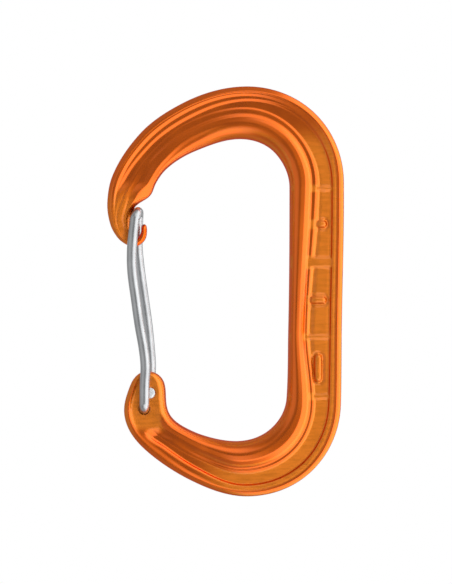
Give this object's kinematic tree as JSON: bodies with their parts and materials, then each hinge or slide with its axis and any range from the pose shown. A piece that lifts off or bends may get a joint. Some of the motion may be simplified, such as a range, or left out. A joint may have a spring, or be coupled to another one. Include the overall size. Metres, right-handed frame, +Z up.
{
  "type": "wire-gate carabiner",
  "caption": "D-shaped forged carabiner with a sunk web, a round inner bearing bead, a hooked nose and a sprung bent-wire gate that swings inward.",
  "frame": {"origin": "hanger seat: the highest point of the inner edge of the top arch, on the mid-plane of the body", "axes": "+Z up along the spine towards the top arch, +X from the gate towards the spine, +Y through the thickness, with the front face looking along -Y"},
  "size_m": [0.0565, 0.0102, 0.0979],
  "materials": {
    "anodised_body": "orange anodised, satin on the forged faces and glossy on the bead",
    "gate_wire": "smooth drawn stainless wire"
  },
  "bodies": {
    "body": {"carabiner_body": "anodised_body"},
    "gate": {"gate_wire_front": "gate_wire"},
    "gate_back": {"gate_wire_back": "gate_wire"}
  },
  "joints": [
    {"name": "gate_hinge", "type": "hinge", "parent": "body", "child": "gate", "pos_m": [-0.02281, 0, -0.06435], "axis": [0, 1, 0], "range_deg": [0, 45], "stiffness_Nm_per_rad": 0.26, "springref_deg": -22.06},
    {"name": "gate_crossbar_flex", "type": "hinge", "parent": "gate", "child": "gate_back", "pos_m": [-0.02431, 0, -0.01744], "axis": [0, 1, 0], "range_deg": [0, 4.3]}
  ],
  "couplings": [
    {"joint": "gate_crossbar_flex", "follows": "gate_hinge", "ratio": 0.092}
  ]
}
